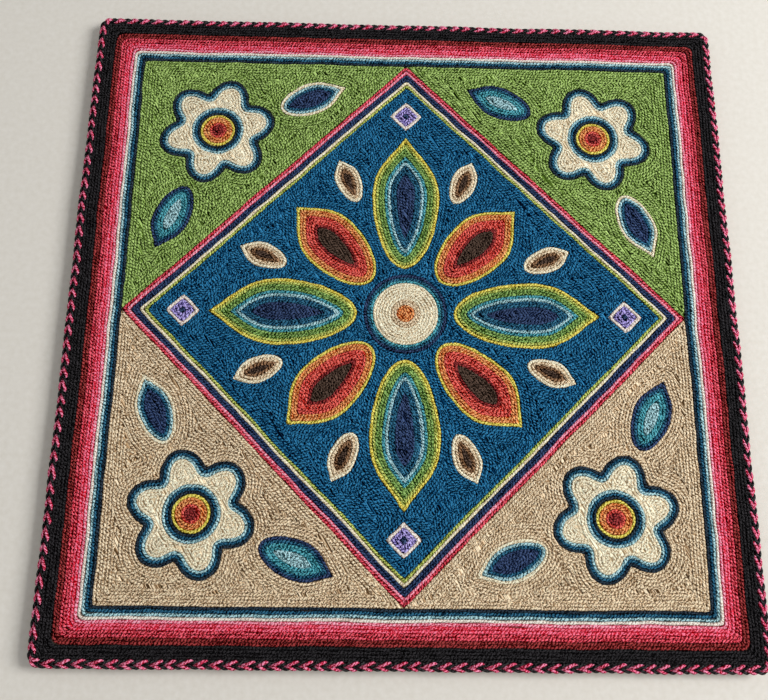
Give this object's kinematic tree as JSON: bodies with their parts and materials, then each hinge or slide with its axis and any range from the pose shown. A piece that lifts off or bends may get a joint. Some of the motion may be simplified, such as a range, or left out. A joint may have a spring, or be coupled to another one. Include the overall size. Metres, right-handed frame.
{
  "type": "yarn painting",
  "caption": "Square folk yarn painting on a plywood board: striped border, flower rosette in a diamond, flowered corners and a chevron cord glued round the edge.",
  "frame": {"origin": "centre of the board's back face, on the surface the painting lies on", "axes": "+Z out of the picture, away from the board; +Y to the top of the picture; +X to its right"},
  "size_m": [0.308, 0.308, 0.0078],
  "materials": {
    "plywood": "bare sanded plywood",
    "wax": "thin coat of beeswax and resin",
    "cord_pink_black": "pink and black plied acrylic yarn",
    "yarn_black": "pressed acrylic yarn",
    "yarn_maroon": "pressed acrylic yarn",
    "yarn_crimson": "pressed acrylic yarn",
    "yarn_rose": "pressed acrylic yarn",
    "yarn_pink": "pressed acrylic yarn",
    "yarn_white": "pressed acrylic yarn",
    "yarn_pale_blue": "pressed acrylic yarn",
    "yarn_blue": "pressed acrylic yarn",
    "yarn_ink": "pressed acrylic yarn",
    "yarn_navy": "pressed acrylic yarn",
    "yarn_cream": "pressed acrylic yarn",
    "yarn_lime": "pressed acrylic yarn",
    "yarn_royal_blue": "pressed acrylic yarn",
    "yarn_green": "pressed acrylic yarn",
    "yarn_tan": "pressed acrylic yarn",
    "yarn_leaf_green": "pressed acrylic yarn",
    "yarn_flame_red": "pressed acrylic yarn",
    "yarn_brown": "pressed acrylic yarn",
    "yarn_lilac": "pressed acrylic yarn",
    "yarn_teal": "pressed acrylic yarn",
    "yarn_orange": "pressed acrylic yarn"
  },
  "bodies": {
    "root": {"plywood_board": "plywood", "wax_bed": "wax", "edge_cord_inner": "cord_pink_black", "edge_cord_outer": "cord_pink_black", "border_black": "yarn_black", "border_maroon": "yarn_maroon", "border_crimson": "yarn_crimson", "border_rose": "yarn_rose", "border_pink": "yarn_pink", "border_white": "yarn_white", "border_pale_blue": "yarn_pale_blue", "border_blue": "yarn_blue", "border_ink": "yarn_ink", "diamond_crimson": "yarn_crimson", "diamond_pink": "yarn_pink", "diamond_navy": "yarn_navy", "diamond_cream": "yarn_cream", "diamond_lime": "yarn_lime", "diamond_ground": "yarn_royal_blue", "heart_disc": "yarn_cream", "long_petal_e": "yarn_leaf_green", "tip_bud_e": "yarn_lilac", "long_petal_n": "yarn_leaf_green", "tip_bud_n": "yarn_lilac", "long_petal_w": "yarn_leaf_green", "tip_bud_w": "yarn_lilac", "long_petal_s": "yarn_leaf_green", "tip_bud_s": "yarn_lilac", "flame_petal_ne": "yarn_flame_red", "seed_drop_ne_a": "yarn_brown", "seed_drop_ne_b": "yarn_brown", "spandrel_ground_ne": "yarn_green", "corner_flower_ne": "yarn_cream", "corner_flower_heart_ne": "yarn_orange", "corner_leaf_ne_a": "yarn_teal", "corner_leaf_ne_b": "yarn_navy", "flame_petal_nw": "yarn_flame_red", "seed_drop_nw_a": "yarn_brown", "seed_drop_nw_b": "yarn_brown", "spandrel_ground_nw": "yarn_green", "corner_flower_nw": "yarn_cream", "corner_flower_heart_nw": "yarn_orange", "corner_leaf_nw_a": "yarn_teal", "corner_leaf_nw_b": "yarn_navy", "flame_petal_sw": "yarn_flame_red", "seed_drop_sw_a": "yarn_brown", "seed_drop_sw_b": "yarn_brown", "spandrel_ground_sw": "yarn_tan", "corner_flower_sw": "yarn_cream", "corner_flower_heart_sw": "yarn_orange", "corner_leaf_sw_a": "yarn_teal", "corner_leaf_sw_b": "yarn_navy", "flame_petal_se": "yarn_flame_red", "seed_drop_se_a": "yarn_brown", "seed_drop_se_b": "yarn_brown", "spandrel_ground_se": "yarn_tan", "corner_flower_se": "yarn_cream", "corner_flower_heart_se": "yarn_orange", "corner_leaf_se_a": "yarn_teal", "corner_leaf_se_b": "yarn_navy"}
  },
  "joints": []
}
